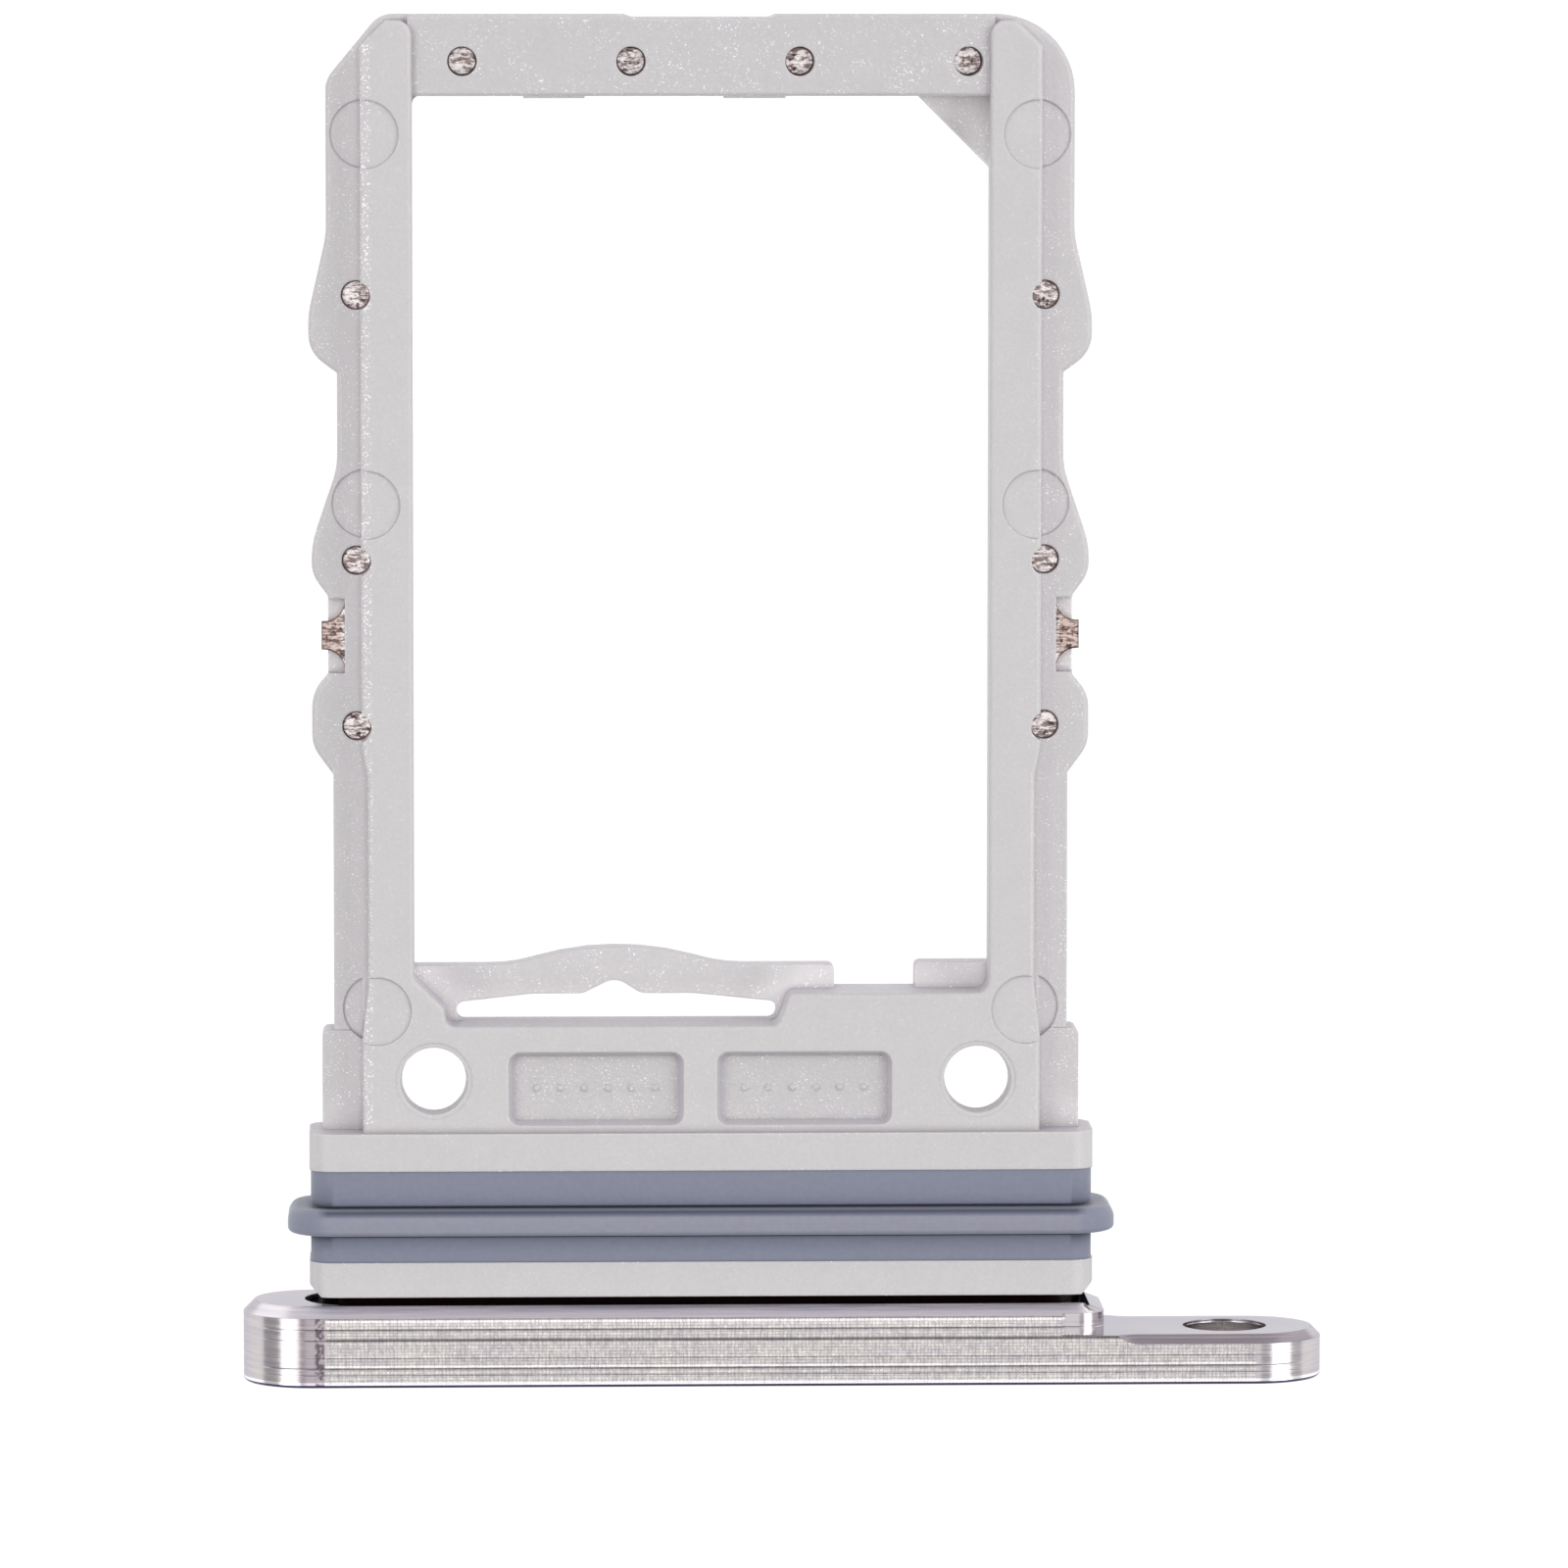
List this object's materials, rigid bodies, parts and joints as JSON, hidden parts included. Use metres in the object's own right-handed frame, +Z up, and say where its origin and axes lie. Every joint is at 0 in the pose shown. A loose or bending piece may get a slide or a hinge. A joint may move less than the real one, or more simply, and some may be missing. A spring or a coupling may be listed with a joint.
{
  "type": "sim card tray",
  "caption": "Card tray of a phone: metal face bar with a hole for the eject pin, moulded frame with a card pocket and leaf spring, steel sheet inside it, and a sealing ring.",
  "frame": {"origin": "under the middle of the outline, at the level of the sealing ring's lowest point", "axes": "+X along the face bar towards the eject pin's hole, +Y from the bar's outer face into the phone, +Z up, with the card put in from below"},
  "size_m": [0.0154, 0.0196, 0.0021],
  "materials": {
    "machined_steel": "milled and finely brushed along its length",
    "moulded_plastic": "light grey, fine eroded texture",
    "stamped_steel": "bright rolled sheet",
    "silicone": "matte blue-grey"
  },
  "bodies": {
    "root": {"cap": "machined_steel", "tray_frame": "moulded_plastic", "metal_insert": "stamped_steel", "seal_ring": "silicone"}
  },
  "joints": []
}
